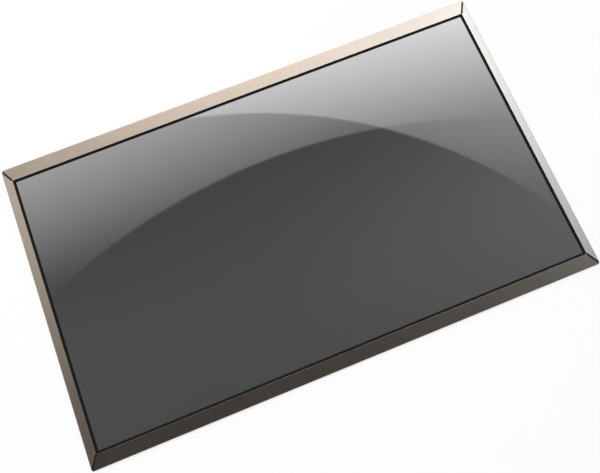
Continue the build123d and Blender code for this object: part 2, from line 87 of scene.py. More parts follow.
# Meshes: points nearer than MERGE are one, faces that turn less than FLAT_TURN are flat, edges that turn more
# than SHARP_TURN are sharp, or SOFT_TURN on a rounded piece, and a round needs EDGE_ROOM times its width
MERGE = 0.0005 * MM
FLAT_TURN, SHARP_TURN, SOFT_TURN = radians(0.5), radians(30.0), radians(50.0)
EDGE_ROOM = 2.5

# Patterns of the solder mask and the light guide: shares of a cell, and cells per metre
RUN_CHOICE, VIA_INNER, VIA_OUTER = (0.2, 0.45), (0.06, 0.09), (0.13, 0.16)
BLOCK_SCALE, VIA_SCALE = 110.0, 420.0
DOT_SIZES, DOT_EDGE = (0.42, 0.16), 0.03

# Screw heads: the crown and the recess as shares of the head's height and radius
HEAD_CROWN, RECESS_ARM, RECESS_HALF, RECESS_DEPTH, RECESS_TAPER = 0.6, 0.5, 0.13, 0.7, 0.5

# Bends of a contact: shares of its length, and dips counted in sheets
CONTACT_BENDS = ((0.0, 0.0), (0.45, 0.0), (0.65, 0.6), (0.78, 1.1), (0.86, 1.1), (1.0, 0.4))

# Chips: the dimple's radius and place. Inductor: its corner, and how far its terminals stay from that
DIMPLE_EDGES, DIMPLE_PLACE = 5, 2.2
INDUCTOR_CORNER, TERMINAL_INSET = 0.2, 1.3

# Stage: the floor, the lamp overhead, the lowest height that the sky's sheets are worked out for, the camera
FLOOR_HALF = 4.0
FLOOR_GAP = 0.05 * MM
KEY_SIZE, KEY_PLACE = 1.2, Vector((-0.15, 0.25, 1.2))
LOWEST_SKY = 0.05
SENSOR, NEAR_CLIP = 36.0, 0.01
WHITE = (1.0, 1.0, 1.0)


# Settings

def colour(name, description, default):
    """Returns a colour setting."""
    return FloatVectorProperty(name=name, description=description, subtype="COLOR", default=default)


def length(name, description, default):
    """Returns a length setting, with its default in millimetres."""
    return FloatProperty(name=name, description=description, unit="LENGTH", default=default * MM)


def lengths(name, description, default, subtype="NONE"):
    """Returns a setting of some lengths, with its defaults in millimetres."""
    return FloatVectorProperty(
        name=name, description=description, size=len(default), subtype=subtype, unit="LENGTH",
        default=tuple(part * MM for part in default))


def towards(name, description, default):
    """Returns a direction setting."""
    return FloatVectorProperty(name=name, description=description, subtype="DIRECTION", default=default)


def amounts(name, description, default):
    """Returns a setting of some plain numbers."""
    return FloatVectorProperty(name=name, description=description, size=len(default), default=default)


def amount(name, description, default):
    """Returns a setting of one plain number, from 0 up."""
    return FloatProperty(name=name, description=description, default=default, min=0.0)


class BezelFinish(bpy.types.PropertyGroup):
    """Finish of the folded metal bezel and its gasket."""

    metal: colour("Metal", "Colour of the satin metal", (0.62, 0.54, 0.46))
    roughness: amount("Roughness", "Spread of the metal's gloss", 0.34)
    edge: length("Edge", "Width of the round on the sheet's edges", 0.03)
    window: lengths("Window", "Width and height of the bezel's window", (347.5, 196.8))
    # The cut edge is rougher, and its darkening is painted shade that hides the glint of the window's edge
    cut: length("Cut edge", "Width of the dull cut edge round the window", 0.16)
    gasket: colour("Gasket", "Colour of the foam gasket", (0.008, 0.008, 0.007))
    gasket_edge: length("Gasket edge", "Width of the round on the foam's edges", 0.12)


class ScreenFinish(bpy.types.PropertyGroup):
    """Finish of the screen's face and the glass behind it."""

    face: colour("Face", "Colour of the unlit picture area", (0.0422, 0.0422, 0.0422))
    border: colour("Border", "Colour of the mask round the picture", (0.006, 0.006, 0.006))
    roughness: amount("Roughness", "Spread of the screen's gloss", 0.02)
    gloss: amount("Gloss", "Refractive index of the screen's hard coat", 2.2)
    picture: lengths("Picture", "Width and height of the picture area", (344.2, 193.5))
    glass: colour("Glass", "Tint of the cell's glass", (0.86, 0.92, 0.90))
    film: colour("Film", "Colour of the rear polarizer", (0.03, 0.03, 0.035))
    tape: colour("Tape", "Colour of the mounting tape", (0.012, 0.012, 0.012))


class BacklightFinish(bpy.types.PropertyGroup):
    """Finish of the backlight's sheets and lamps."""

    diffuser: colour("Diffuser", "Colour of the milky films", (0.86, 0.86, 0.85))
    prism: colour("Prism", "Tint of the ridged films", (0.90, 0.92, 0.93))
    ridge: length("Ridge", "Pitch of the prism films' ridges", 0.05)
    guide: colour("Guide", "Tint of the light guide", (0.90, 0.95, 0.94))
    dots: length("Dots", "Pitch of the light guide's printed dots", 1.0)
    reflector: colour("Reflector", "Colour of the reflector sheet", (0.92, 0.92, 0.92))
    resin: colour("Resin", "Colour of the lamps' bodies", (0.84, 0.83, 0.79))
    phosphor: colour("Phosphor", "Colour of the lamps' windows", (0.80, 0.62, 0.10))
    window: length("Window", "Depth of the lamps' windows", 0.25)


class CircuitFinish(bpy.types.PropertyGroup):
    """Finish of the circuits behind the screen."""

    board: colour("Board", "Colour of the solder mask", (0.010, 0.075, 0.030))
    runs: colour("Runs", "Colour of the solder mask over copper", (0.020, 0.135, 0.050))
    pad: length("Run pitch", "Pitch of the board's copper runs", 0.5)
    flex: colour("Flex", "Colour of the flexible films", (0.34, 0.13, 0.025))
    copper: colour("Copper", "Colour of copper under a flexible film", (0.52, 0.24, 0.06))
    chip: colour("Chip", "Colour of the moulded chips", (0.016, 0.016, 0.017))
    silicon: colour("Silicon", "Colour of the driver chips", (0.055, 0.057, 0.065))
    ferrite: colour("Ferrite", "Colour of the inductor", (0.045, 0.045, 0.048))
    ceramic: colour("Ceramic", "Colour of the capacitors", (0.30, 0.17, 0.085))
    socket: colour("Socket", "Colour of the sockets", (0.66, 0.61, 0.49))
    tin: colour("Tin", "Colour of tinned ends and leads", (0.70, 0.70, 0.68))
    gold: colour("Gold", "Colour of the contacts", (0.86, 0.63, 0.26))
    edge: length("Edge", "Width of the cut on the parts' edges", 0.06)
    lead: length("Lead", "How far leads and ends stand out", 0.03)
    lead_pitch: length("Lead pitch", "Pitch of the chips' leads", 0.5)
    end_cap: length("End cap", "Length of the capacitors' tinned ends", 0.35)
    tail: length("Tail", "Length of the contacts' solder tails", 0.6)


class BackFinish(bpy.types.PropertyGroup):
    """Finish of the frame, the back cover and the fasteners."""

    plastic: colour("Plastic", "Colour of the mould frame", (0.018, 0.018, 0.019))
    cover: colour("Cover", "Colour of the back cover", (0.60, 0.61, 0.62))
    film: colour("Film", "Tint of the clear film over the board", (0.86, 0.90, 0.86))
    steel: colour("Steel", "Colour of the screws", (0.52, 0.52, 0.51))
    brass: colour("Brass", "Colour of the inserts", (0.72, 0.53, 0.23))
    edge: length("Edge", "Width of the round on moulded and pressed edges", 0.06)
    thread_pitch: length("Thread pitch", "Pitch of the screws and inserts", 0.4)
    thread_depth: length("Thread depth", "Depth of the screws' and inserts' threads", 0.17)
    knurl_pitch: length("Knurl pitch", "Height of one diamond of the inserts' knurl", 0.6)
    knurl_depth: length("Knurl depth", "Depth of the inserts' knurl", 0.09)
    knurls: IntProperty(name="Knurls", description="Diamonds round an insert", default=20, min=8, max=40)
    segments: IntProperty(name="Segments", description="Sides of the screws", default=40, min=12, max=96)


class StageSettings(bpy.types.PropertyGroup):
    """Camera, floor and light."""

    camera_place: lengths("Camera", "Where the camera stands", (-31.95, -110.27, 419.77), "TRANSLATION")
    camera_aim: lengths("Aim", "Point at the middle of the picture", (-1.14, -15.95, 5.3), "TRANSLATION")
    camera_roll: FloatProperty(
        name="Roll", description="Turn of the camera about its line of sight", subtype="ANGLE",
        default=radians(3.809))
    lens: FloatProperty(
        name="Lens", description="Focal length on a 36 mm sensor", unit="CAMERA", default=37.39)
    floor: colour("Floor", "Colour of the floor", (0.96, 0.96, 0.96))
    floor_shadow: FloatProperty(
        name="Floor shadow", description="Share of the floor that light and shadow reach", default=0.3,
        subtype="FACTOR", min=0.0, max=1.0)
    fill: amount("Fill", "Strength of the even light all round", 0.55)
    key_power: FloatProperty(
        name="Key", description="Power of the soft lamp overhead", unit="POWER", default=9.0, min=0.0)
    dim_sky: amount("Dim sky", "Brightness that gloss sees away from the soft boxes", 0.041)
    top_box: towards("Top soft box", "Way to the soft box past the drive edge", (0.110, 0.989, 0.102))
    top_glow: amounts("Top glow", "Light of the top soft box", (4.05, 3.72, 3.51))
    top_falloff: amount("Top falloff", "How fast the top soft box fades", 14.1)
    left_box: towards("Left soft box", "Way to the soft box at the left", (-0.759, 0.464, 0.457))
    left_glow: amounts("Left glow", "Light of the left soft box", (1.40, 1.37, 1.30))
    left_falloff: amount("Left falloff", "How fast the left soft box fades", 39.2)
    right_box: towards("Right soft box", "Way to the soft box at the right", (0.666, 0.399, 0.630))
    right_glow: amounts("Right glow", "Light of the right soft box", (4.43, 5.20, 6.00))
    right_falloff: amount("Right falloff", "How fast the right soft box fades", 16.2)
    low_box: towards("Low soft box", "Way to the faint soft box at the lower right", (0.632, -0.328, 0.702))
    low_glow: amounts("Low glow", "Light of the low soft box", (1.02, 1.20, 1.20))
    low_falloff: amount("Low falloff", "How fast the low soft box fades", 76.5)
    box_end: amounts(
        "Box end", "Heights, as shares of the zenith, between which the three boxes end", (0.62, 0.86))
    wide_sheet: amounts(
        "Wide sheet", "Middle and radius of the wide overhead sheet's curved edge, per metre of height",
        (0.0736, -0.6333, 1.0070))
    wide_fade: amounts(
        "Wide fade", "Where the wide sheet starts, and how fast it brightens", (0.307, 10.49))
    sheet_start: amount("Sheet start", "Softness of the overhead sheets' faint ends", 0.7)
    side_sheet: amounts(
        "Side sheet", "Middle and radius of the side sheet's curved edge, per metre of height",
        (-0.2043, -0.2799, 0.7948))
    side_fade: amounts(
        "Side fade", "Brightness of the side sheet at the zenith, and its rise to the right and the top",
        (-2.07, 2.35, 6.87))
    sheet_soft: amount("Sheet edge", "Softness of the overhead sheets' curved edges", 0.0015)
    sheet_end: amounts(
        "Sheet end", "Where the overhead sheets start to fade and where they end, per metre of height",
        (0.52, 0.85))
    strip_glow: amounts(
        "Strip glow", "Light of the overhead strip, its rise to the right and the curve of that rise",
        (0.227, 0.215, 0.644))
    strip_place: amounts(
        "Strip place", "Middle and width of the overhead strip, per metre of height", (0.120, 0.257))


# Node helpers

class Graph:
    """Adds nodes to a tree and joins them."""

    def __init__(self, tree):
        self.tree = tree

    def put(self, socket, value):
        """Joins a socket to an output, or sets its value."""
        if isinstance(value, bpy.types.NodeSocket):
            self.tree.links.new(value, socket)
        elif isinstance(value, (int, float)) or not hasattr(socket, "default_value"):
            socket.default_value = value
        else:
            size = len(socket.default_value)
            socket.default_value = (list(value) + [1.0] * size)[:size]

    def node(self, kind, inputs=None, **settings):
        """Adds a node with these settings and inputs."""
        made = self.tree.nodes.new(kind)
        for name, value in settings.items():
            setattr(made, name, value)
        for name, value in (inputs or {}).items():
            self.put(made.inputs[name], value)
        return made

    def math(self, operation, *values):
        """Returns the result of one sum."""
        return self.node("ShaderNodeMath", dict(enumerate(values)), operation=operation).outputs[0]

    def plus(self, first, second):
        """Returns the sum of two values."""
        return self.math("ADD", first, second)

    def less(self, first, second):
        """Returns the difference of two values."""
        return self.math("SUBTRACT", first, second)

    def times(self, first, second):
        """Returns the product of two values."""
        return self.math("MULTIPLY", first, second)

    def vector(self, operation, *values, result="Vector"):
        """Returns the vector that a vector sum gives."""
        made = self.node("ShaderNodeVectorMath", dict(enumerate(values)), operation=operation)
        return made.outputs[result]

    def measure(self, operation, *values):
        """Returns the number that a vector sum gives."""
        return self.vector(operation, *values, result="Value")

    def ramp(self, value, start, end, low=0.0, high=1.0, smooth=True):
        """Returns a value that goes from low to high between two marks, and stays there."""
        inputs = {"Value": value, "From Min": start, "From Max": end, "To Min": low, "To Max": high}
        kind = "SMOOTHSTEP" if smooth else "LINEAR"
        return self.node("ShaderNodeMapRange", inputs, interpolation_type=kind).outputs["Result"]

    def mix(self, share, first, second, blend="MIX"):
        """Returns a mix of two colours."""
        made = self.node("ShaderNodeMix", data_type="RGBA", blend_type=blend)
        self.put(made.inputs["Factor"], share)
        self.put(made.inputs[6], first)
        self.put(made.inputs[7], second)
        return made.outputs[2]

    def noise(self, place, scale, detail=3.0, roughness=0.5):
        """Returns noise of a scale, in turns per metre."""
        inputs = {"Vector": place, "Scale": scale, "Detail": detail, "Roughness": roughness}
        return self.node("ShaderNodeTexNoise", inputs).outputs["Fac"]

    def place(self):
        """Returns the point on the part, in metres."""
        return self.node("ShaderNodeTexCoord").outputs["Object"]

    def axes(self, vector):
        """Returns a vector's three parts."""
        return self.node("ShaderNodeSeparateXYZ", {0: vector}).outputs

    def grey(self, value):
        """Returns a colour that has one value in its three parts."""
        return self.node("ShaderNodeCombineXYZ", {0: value, 1: value, 2: value}).outputs[0]


def new_group(name, inputs, outputs):
    """Starts a shader node group with named sockets, and returns its graph, inputs and output node."""
    tree = bpy.data.node_groups.new(name, "ShaderNodeTree")
    for label, kind, default in inputs:
        socket = tree.interface.new_socket(label, in_out="INPUT", socket_type=kind)
        if default is not None:
            socket.default_value = default
    for label in outputs:
        tree.interface.new_socket(label, in_out="OUTPUT", socket_type=FLOAT)
    graph = Graph(tree)
    given = graph.node("NodeGroupInput").outputs
    result = graph.node("NodeGroupOutput").inputs
    return graph, given, result


def grain_group():
    """Drawn grain: fine lines along the grain vector's long axis."""
    graph, given, result = new_group(
        "Drawn grain",
        [("Place", VECTOR, None), ("Grain", VECTOR, (1.0, 1.0, 1.0))],
        ["Tone", "Height"])
    drawn = graph.vector("MULTIPLY", given["Place"], given["Grain"])
    lines = graph.noise(drawn, 1.0, detail=4.0, roughness=0.6)
    cloud = graph.noise(given["Place"], 55.0, detail=2.0)
    graph.put(result["Tone"], graph.plus(graph.times(lines, 0.7), graph.times(cloud, 0.3)))
    graph.put(result["Height"], lines)
    return graph.tree


def wear_group():
    """Edge wear: a broken line along the sharp edges."""
    graph, given, result = new_group(
        "Edge wear",
        [("Place", VECTOR, None), ("Width", FLOAT, 0.2 * MM), ("Breaks", FLOAT, 900.0)],
        ["Mask"])
    rounded = graph.node("ShaderNodeBevel", {"Radius": given["Width"]}, samples=4).outputs["Normal"]
    flat = graph.node("ShaderNodeNewGeometry").outputs["Normal"]
    turn = graph.less(1.0, graph.measure("DOT_PRODUCT", rounded, flat))
    edge = graph.ramp(turn, 0.02, 0.18)
    broken = graph.ramp(graph.noise(given["Place"], given["Breaks"]), 0.35, 0.65)
    graph.put(result["Mask"], graph.times(edge, broken))
    return graph.tree


def mottle_group():
    """Moulded texture: a fine even grit with a slow drift of tone."""
    graph, given, result = new_group(
        "Moulded mottle",
        [("Place", VECTOR, None), ("Scale", FLOAT, FINE_GRIT)],
        ["Tone", "Height"])
    grit = graph.noise(given["Place"], given["Scale"], detail=2.0, roughness=0.6)
    drift = graph.noise(given["Place"], 40.0, detail=2.0)
    graph.put(result["Tone"], graph.plus(graph.times(grit, 0.5), graph.times(drift, 0.5)))
    graph.put(result["Height"], grit)
    return graph.tree


def smudge_group():
    """Handling marks: soft patches with wiped streaks in them."""
    graph, given, result = new_group(
        "Handling marks",
        [("Place", VECTOR, None), ("Scale", FLOAT, 12.0)],
        ["Mask"])
    patches = graph.ramp(graph.noise(given["Place"], given["Scale"], detail=3.0), 0.45, 0.75)
    wiped = graph.vector("MULTIPLY", given["Place"], (60.0, 420.0, 60.0))
    streaks = graph.ramp(graph.noise(wiped, 1.0, detail=2.0), 0.35, 0.7)
    graph.put(result["Mask"], graph.times(patches, streaks))
    return graph.tree


def stripe_group():
    """Stripes: even lines across a distance, as a mask and as a row of ridges."""
    graph, given, result = new_group(
        "Stripes",
        [("Across", FLOAT, None), ("Pitch", FLOAT, 0.5 * MM), ("Share", FLOAT, 0.5)],
        ["Mask", "Height"])
    turn = graph.math("FRACT", graph.math("DIVIDE", given["Across"], given["Pitch"]))
    slope = graph.math("ABSOLUTE", graph.less(graph.times(turn, 2.0), 1.0))
    past = graph.less(slope, given["Share"])
    graph.put(result["Mask"], graph.ramp(past, -0.08, 0.08, 1.0, 0.0))
    graph.put(result["Height"], slope)
    return graph.tree


GROUP_MAKERS = {
    "Drawn grain": grain_group,
    "Edge wear": wear_group,
    "Moulded mottle": mottle_group,
    "Handling marks": smudge_group,
    "Stripes": stripe_group,
}


def shared(name):
    """Returns a shared node group, made when it is first asked for."""
    return bpy.data.node_groups.get(name) or GROUP_MAKERS[name]()


def scaled(values, share):
    """Returns some values, such as a colour's parts, times a share."""
    return [part * share for part in values]


class Finish:
    """A material under way: its graph, its shader and the point on the part."""

    def __init__(self, name, metallic=0.0, ior=1.5, transmission=0.0):
        self.material = bpy.data.materials.new(name)
        self.material.use_nodes = True
        self.graph = Graph(self.material.node_tree)
        self.shader = self.material.node_tree.nodes["Principled BSDF"]
        self.place = self.graph.place()
        self.set("Metallic", metallic)
        self.set("IOR", ior)
        self.set("Transmission Weight", transmission)

    def set(self, socket, value):
        """Sets or joins one of the shader's sockets."""
        self.graph.put(self.shader.inputs[socket], value)

    def effect(self, name, **inputs):
        """Places a shared node group with its own values, and returns its outputs."""
        made = self.graph.node("ShaderNodeGroup", node_tree=shared(name))
        if "Place" in made.inputs:
            inputs["place"] = self.place
        for socket, value in inputs.items():
            self.graph.put(made.inputs[socket.title()], value)
        return made.outputs

    def shades(self, tone, colour, sides):
        """Returns a colour that goes from one shade to another as the tone goes up."""
        return self.graph.mix(tone, scaled(colour, sides[0]), scaled(colour, sides[1]))

    def roughness(self, mask, start, end, span=(0.0, 1.0)):
        """Returns a spread of the gloss that goes from a start to an end over the span of a mask."""
        return self.graph.ramp(mask, span[0], span[1], start, min(1.0, end), smooth=False)

    def outside(self, middle, size):
        """Returns how far the point is outside a rectangle of a width and height, less than 0 inside it."""
        graph = self.graph
        x, y, _ = graph.axes(graph.vector("ABSOLUTE", graph.vector("SUBTRACT", self.place, middle)))
        over_x = graph.less(x, size[0] / 2)
        over_y = graph.less(y, size[1] / 2)
        return graph.math("MAXIMUM", over_x, over_y)

    def bump(self, height, distance, strength=1.0):
        """Roughens the surface by a height of this many metres."""
        inputs = {"Height": height, "Distance": distance, "Strength": strength}
        self.set("Normal", self.graph.node("ShaderNodeBump", inputs).outputs["Normal"])


def drawn_metal(name, colour, roughness, grain, worn=0.5, cut=None):
    """Satin sheet metal with a drawn grain, bright worn edges, and where a cut mask is given a rougher edge
    darkened with painted shade.
    """
    finish = Finish(name, metallic=1.0)
    graph = finish.graph
    lines = finish.effect("Drawn grain", grain=grain)
    edges = finish.effect("Edge wear", width=WEAR_WIDTH)["Mask"]
    base = finish.shades(lines["Tone"], colour, METAL_SHADES)
    bright = [min(1.0, part) for part in scaled(colour, WORN_SHADE)]
    tone = graph.mix(graph.times(edges, worn), base, bright)
    spread = finish.roughness(lines["Tone"], *scaled(METAL_GLOSS, roughness), TONE_RANGE)
    # Painted shade: the cut mask darkens the colour so that the edge shows no glint; its added roughness is
    # real
    if cut:
        mask = cut(finish)
        tone = graph.mix(mask, tone, scaled(colour, CUT_PAINTED_SHADE))
        spread = graph.plus(spread, graph.times(mask, CUT_ROUGHNESS))
    finish.set("Base Color", tone)
    finish.set("Roughness", spread)
    finish.bump(lines["Height"], GRAIN_DEPTH, 0.35)
    return finish.material


def moulded(name, colour, roughness, scale=FINE_GRIT, depth=0.01 * MM, ior=1.5):
    """Moulded plastic, resin, foam or film with a fine grit."""
    finish = Finish(name, ior=ior)
    grit = finish.effect("Moulded mottle", scale=scale)
    finish.set("Base Color", finish.shades(grit["Tone"], colour, GRIT_SHADES))
    spread = finish.roughness(grit["Tone"], *scaled(GRIT_GLOSS, roughness), TONE_RANGE)
    finish.set("Roughness", spread)
    finish.bump(grit["Height"], depth, 0.5)
    return finish.material


def handled(finish, colour, clean, marked):
    """Colours a clear finish, and dulls its gloss where it has handling marks."""
    marks = finish.effect("Handling marks", scale=SHEET_MARKS)["Mask"]
    finish.set("Base Color", finish.shades(marks, colour, MARK_SHADES))
    finish.set("Roughness", finish.roughness(marks, clean, marked))


def clear_sheet(name, colour, roughness, ior=1.5):
    """Clear sheet with faint handling marks."""
    finish = Finish(name, ior=ior, transmission=1.0)
    handled(finish, colour, roughness, roughness + 0.08)
    return finish.material


def ridged_film(name, colour, pitch, axis):
    """Clear film with a row of fine ridges across one axis."""
    finish = Finish(name, ior=1.56, transmission=0.9)
    ridges = finish.effect("Stripes", across=finish.graph.axes(finish.place)[axis], pitch=pitch)
    handled(finish, colour, 0.12, 0.22)
    finish.bump(ridges["Height"], pitch / 2, 0.6)
    return finish.material


def dotted_acrylic(name, colour, pitch):
    """Clear acrylic with white printed dots that grow away from the lamps at the drive edge."""
    finish = Finish(name, ior=1.49, transmission=0.85)
    graph = finish.graph
    low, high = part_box("light_guide")
    inputs = {"Vector": finish.place, "Scale": 1.0 / pitch, "Randomness": 0.0}
    away = graph.node("ShaderNodeTexVoronoi", inputs, voronoi_dimensions="2D").outputs["Distance"]
    size = graph.ramp(graph.axes(finish.place)[1], low.y, high.y, *DOT_SIZES, smooth=False)
    past = graph.less(away, size)
    dots = graph.ramp(past, -DOT_EDGE, DOT_EDGE, 1.0, 0.0)
    finish.set("Base Color", graph.mix(dots, colour, (0.95, 0.95, 0.95)))
    finish.set("Roughness", finish.roughness(dots, 0.03, 0.6))
    finish.bump(dots, 0.01 * MM)
    return finish.material


def flex_circuit(name, settings, pitch, axis):
    """Amber film with copper runs that show through it."""
    finish = Finish(name)
    graph = finish.graph
    across = graph.axes(finish.place)[axis]
    runs = finish.effect("Stripes", across=across, pitch=pitch, share=0.55)["Mask"]
    grit = finish.effect("Moulded mottle", scale=FLEX_GRIT)
    film = finish.shades(grit["Tone"], settings.flex, FLEX_SHADES)
    finish.set("Base Color", graph.mix(graph.times(runs, 0.8), film, settings.copper))
    finish.set("Roughness", finish.roughness(grit["Tone"], 0.26, 0.36, TONE_RANGE))
    finish.bump(runs, 0.012 * MM)
    return finish.material


def solder_mask(name, settings):
    """Green solder mask over copper runs, with tinned via rings."""
    finish = Finish(name)
    graph = finish.graph
    x, y, _ = graph.axes(finish.place)
    inputs = {"Vector": finish.place, "Scale": BLOCK_SCALE}
    blocks = graph.node("ShaderNodeTexVoronoi", inputs).outputs["Color"]
    choice = graph.axes(blocks)[0]
    runs = [finish.effect("Stripes", across=along, pitch=settings.pad, share=0.5)["Mask"]
            for along in (x, y)]
    lengthwise = graph.times(runs[1], graph.math("GREATER_THAN", choice, RUN_CHOICE[1]))
    crosswise = graph.times(runs[0], graph.math("LESS_THAN", choice, RUN_CHOICE[0]))
    copper = graph.math("MAXIMUM", lengthwise, crosswise)
    inputs = {"Vector": finish.place, "Scale": VIA_SCALE, "Randomness": 0.9}
    away = graph.node("ShaderNodeTexVoronoi", inputs, voronoi_dimensions="2D").outputs["Distance"]
    vias = graph.times(graph.ramp(away, *VIA_INNER), graph.ramp(away, *VIA_OUTER, 1.0, 0.0))
    mask = graph.mix(copper, settings.board, settings.runs)
    finish.set("Base Color", graph.mix(vias, mask, settings.tin))
    finish.set("Metallic", vias)
    finish.set("Roughness", finish.roughness(copper, 0.34, 0.26))
    finish.bump(graph.math("MAXIMUM", copper, vias), 0.02 * MM)
    return finish.material


# Mesh helpers

def dress(node, material):
    """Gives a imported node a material."""
    mesh = NODES[node].data
    mesh.materials.clear()
    mesh.materials.append(material)


def add_piece(name, bm, materials, slot, *nodes, sharp=SHARP_TURN):
    """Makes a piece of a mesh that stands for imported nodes, and lets it ride on the part."""
    bmesh.ops.recalc_face_normals(bm, faces=bm.faces)
    bmesh.ops.triangulate(bm, faces=[f for f in bm.faces if len(f.verts) > 4])
    for face in bm.faces:
        face.smooth = True
    mesh = bpy.data.meshes.new(name)
    bm.to_mesh(mesh)
    bm.free()
    mesh.set_sharp_from_angle(angle=sharp)
    for material in materials:
        mesh.materials.append(material)
    piece = bpy.data.objects.new(name, mesh)
    bpy.context.scene.collection.objects.link(piece)
    flatten = piece.modifiers.new("Large faces stay flat", "WEIGHTED_NORMAL")
    flatten.keep_sharp = True
    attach(piece, "root")
    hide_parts(*nodes)


def node_mesh(node):
    """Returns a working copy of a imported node's mesh, with its points joined."""
    bm = bmesh.new()
    bm.from_mesh(NODES[node].data)
    bmesh.ops.remove_doubles(bm, verts=bm.verts, dist=MERGE)
    return bm


def soften(node, name, width, material, slot):
    """Stands a copy of a node in its place, with its sharp edges rounded where there is room for that."""
    bm = node_mesh(node)
    bmesh.ops.dissolve_limit(bm, angle_limit=FLAT_TURN, verts=bm.verts, edges=bm.edges)
    roomy = {v for v in bm.verts if min(e.calc_length() for e in v.link_edges) > EDGE_ROOM * width}
    edges = [e for e in bm.edges if roomy.issuperset(e.verts) and e.calc_face_angle(0.0) > SHARP_TURN]
    bmesh.ops.bevel(
        bm, geom=edges, offset=width, segments=2, profile=0.5, affect="EDGES", clamp_overlap=True)
    add_piece(name, bm, [material], slot, node, sharp=SOFT_TURN)


def islands(node):
    """Returns each separate solid of a node as a list of its points."""
    bm = node_mesh(node)
    left = set(bm.verts)
    found = []
    while left:
        stack = [left.pop()]
        points = []
        while stack:
            vert = stack.pop()
            points.append(vert.co.copy())
            for edge in vert.link_edges:
                other = edge.other_vert(vert)
                if other in left:
                    left.remove(other)
                    stack.append(other)
        found.append(points)
    bm.free()
    return sorted(found, key=lambda points: tuple(points_box(points)[0]))


def points_box(points):
    """Returns the lowest and highest corners of some points."""
    low = Vector([min(p[i] for p in points) for i in range(3)])
    high = Vector([max(p[i] for p in points) for i in range(3)])
    return low, high


def skin(bm, loops, bands, caps):
    """Joins loops of points, with a material for each band and each end, and returns the rings."""
    rings = [[bm.verts.new(point) for point in loop] for loop in loops]
    for low, high, material in zip(rings, rings[1:], bands):
        for i in range(len(low)):
            face = bm.faces.new((low[i - 1], low[i], high[i], high[i - 1]))
            face.material_index = material
    for ring, material in zip((rings[0], rings[-1]), caps):
        if material is not None:
            bm.faces.new(ring).material_index = material
    return rings


def plate(low, high, axis, level, inset, cut):
    """Returns a loop across a box at a level of one axis, drawn in by an inset, with cut corners."""
    u, v = (axis + 1) % 3, (axis + 2) % 3
    half_u = (high[u] - low[u]) / 2 - inset
    half_v = (high[v] - low[v]) / 2 - inset
    quarter = [(half_u, half_v - cut), (half_u - cut, half_v)]
    ring = quarter + [(-a, b) for a, b in reversed(quarter)]
    ring += [(-a, -b) for a, b in ring]
    points = []
    for a, b in ring:
        point = (low + high) / 2
        point[axis] = level
        point[u] += a
        point[v] += b
        points.append(point)
    return points


def stepped(bm, low, high, axis, cut, steps, bands, caps):
    """Adds a shape with cut corners that goes along one axis of a box in steps of a level and an inset."""
    loops = [plate(low, high, axis, level, inset, cut) for level, inset in steps]
    return skin(bm, loops, bands, caps)


def block(bm, low, high, cut, material=0):
    """Adds a closed block with cut edges between two corners."""
    steps = ((low.z, cut), (low.z + cut, 0.0), (high.z - cut, 0.0), (high.z, cut))
    stepped(bm, low, high, 2, cut, steps, [material] * 3, (material, material))


def turned(middle, rings, segments):
    """Returns the loops of a turned shape from rings of a radius, a height and a ripple or None."""
    loops = []
    for radius, height, ripple in rings:
        loop = []
        for step in range(segments):
            angle = 2 * pi * step / segments
            reach = radius + (ripple(angle, height) if ripple else 0.0)
            loop.append(Vector((middle.x + reach * cos(angle), middle.y + reach * sin(angle), height)))
        loops.append(loop)
    return loops


def turned_points(points):
    """Returns the box of a turned solid, its middle, and the reach and the level of each of its points."""
    low, high = points_box(points)
    middle = (low + high) / 2
    return low, high, middle, [(hypot(p.x - middle.x, p.y - middle.y), p.z) for p in points]


def saw(turn):
    """Returns a wave that falls from 1 to 0 and rises back to 1 in each turn."""
    return abs(2.0 * (turn % 1.0) - 1.0)


def thread(depth, pitch):
    """Returns the ripple of a thread that stands out by a depth, or goes in where that is less than 0."""
    return lambda angle, height: depth * saw(height / pitch - angle / (2 * pi))


def levels(start, end, step):
    """Returns evenly spaced levels from a start to an end, at most a step apart."""
    count = ceil(abs(end - start) / step)
    return [start + (end - start) * i / count for i in range(count + 1)]


def pocket(bm, rim, outline, sink, narrow):
    """Fills the flat face inside a ring, with a recess of an outline sunk into it."""
    middle = sum(outline, Vector()) / len(outline)
    mouth = [bm.verts.new(point) for point in outline]
    floor = [bm.verts.new(middle + (point - middle) * narrow + sink) for point in outline]
    edges = []
    for ring in (rim, mouth):
        for i in range(len(ring)):
            pair = (ring[i - 1], ring[i])
            edges.append(bm.edges.get(pair) or bm.edges.new(pair))
    bmesh.ops.triangle_fill(bm, edges=edges, use_beauty=True)
    for i in range(len(mouth)):
        bm.faces.new((mouth[i - 1], mouth[i], floor[i], floor[i - 1]))
    bm.faces.new(floor)


def circle(middle, radius, count):
    """Returns the points of a level circle."""
    turns = [2 * pi * i / count for i in range(count)]
    return [middle + Vector((radius * cos(turn), radius * sin(turn), 0.0)) for turn in turns]


# Pieces

class PANEL_OT_bezel(bpy.types.Operator):
    """Finish the folded metal bezel"""

    bl_idname = "screen_panel.bezel"
    bl_label = "Front Bezel"

    def execute(self, context):
        finish = context.scene.panel_bezel
        low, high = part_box("front_polarizer")

        # Mask of the cut edge round the window: rougher metal, darkened with painted shade that hides its
        # glint
        def cut_edge_painted_shade(made):
            past = made.outside((low + high) / 2, finish.window)
            return made.graph.ramp(past, 0.75 * finish.cut, 1.25 * finish.cut, 1.0, 0.0)

        grain = (900.0, 900.0, 900.0)
        metal = drawn_metal("bezel_satin", finish.metal, finish.roughness, grain, worn=0.15, cut=cut_edge_painted_shade)
        soften("front_bezel", "bezel_frame", finish.edge, metal, "bezel_metal")
        return {"FINISHED"}


class PANEL_OT_gasket(bpy.types.Operator):
    """Finish the foam gasket that shows as a black line round the screen"""

    bl_idname = "screen_panel.gasket"
    bl_label = "Bezel Gasket"

    def execute(self, context):
        finish = context.scene.panel_bezel
        foam = moulded("gasket_foam", finish.gasket, 0.9, scale=6000.0, depth=0.02 * MM, ior=1.3)
        soften("bezel_gasket", "foam_gasket", finish.gasket_edge, foam, "gasket_black")
        return {"FINISHED"}


